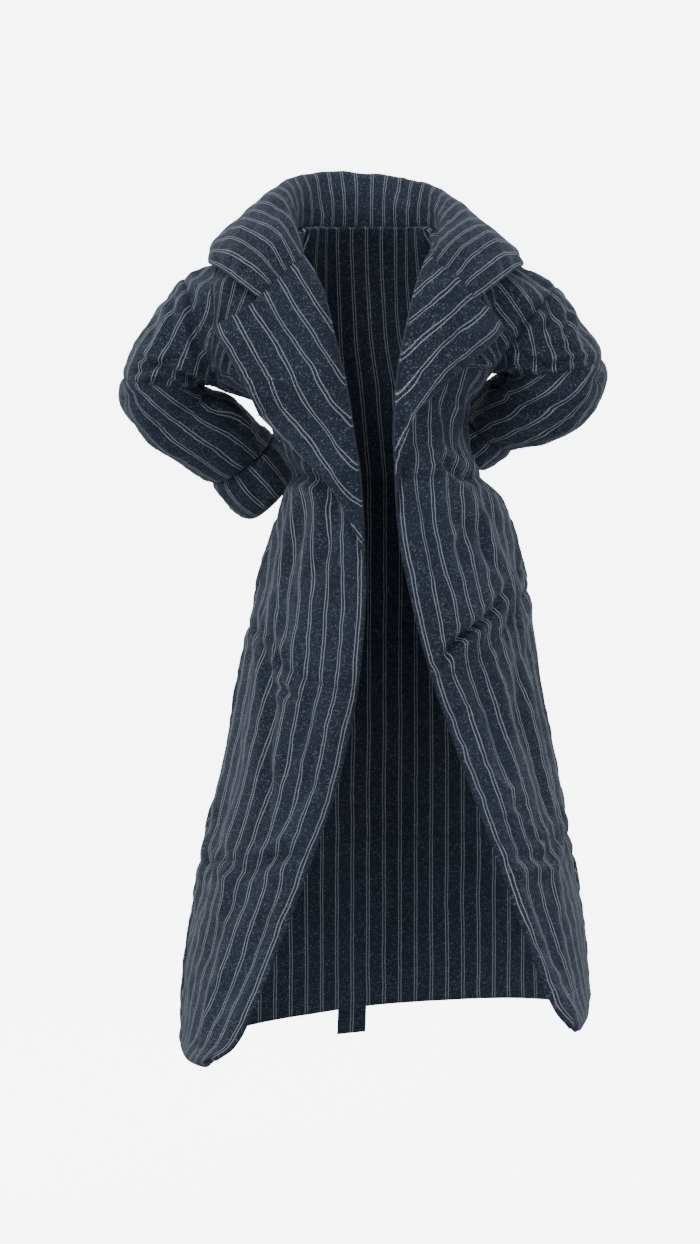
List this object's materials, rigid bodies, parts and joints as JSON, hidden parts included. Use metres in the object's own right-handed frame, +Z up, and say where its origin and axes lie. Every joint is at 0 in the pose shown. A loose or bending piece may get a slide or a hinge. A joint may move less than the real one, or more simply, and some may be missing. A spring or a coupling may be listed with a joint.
{
  "type": "long padded coat",
  "caption": "Long padded pinstriped coat with a wide collar and lapels, worn open with both arms bent to the hips, belted behind.",
  "frame": {"origin": "the middle of the back neckline seam, at the height where the neck and shoulders hold the coat", "axes": "+X to the wearer's left, +Y to the wearer's back, so the opening faces -Y, and +Z up"},
  "size_m": [0.7299, 0.4081, 1.3495],
  "materials": {
    "padded_wool": "matt dark blue-grey wool with paired pale pinstripes",
    "belt_cloth": "matt dark blue-grey wool with a pale pinstripe along each side"
  },
  "bodies": {
    "root": {"back": "padded_wool", "front_right": "padded_wool", "front_left": "padded_wool", "upper_sleeve_right": "padded_wool", "lower_sleeve_right": "padded_wool", "cuff_right": "padded_wool", "lapel_right": "padded_wool", "upper_sleeve_left": "padded_wool", "lower_sleeve_left": "padded_wool", "cuff_left": "padded_wool", "lapel_left": "padded_wool", "collar": "padded_wool", "belt_band": "belt_cloth", "belt_loop_right": "belt_cloth", "belt_loop_left": "belt_cloth", "belt_knot": "belt_cloth", "belt_end_long": "belt_cloth", "belt_end_short": "belt_cloth"}
  },
  "joints": []
}
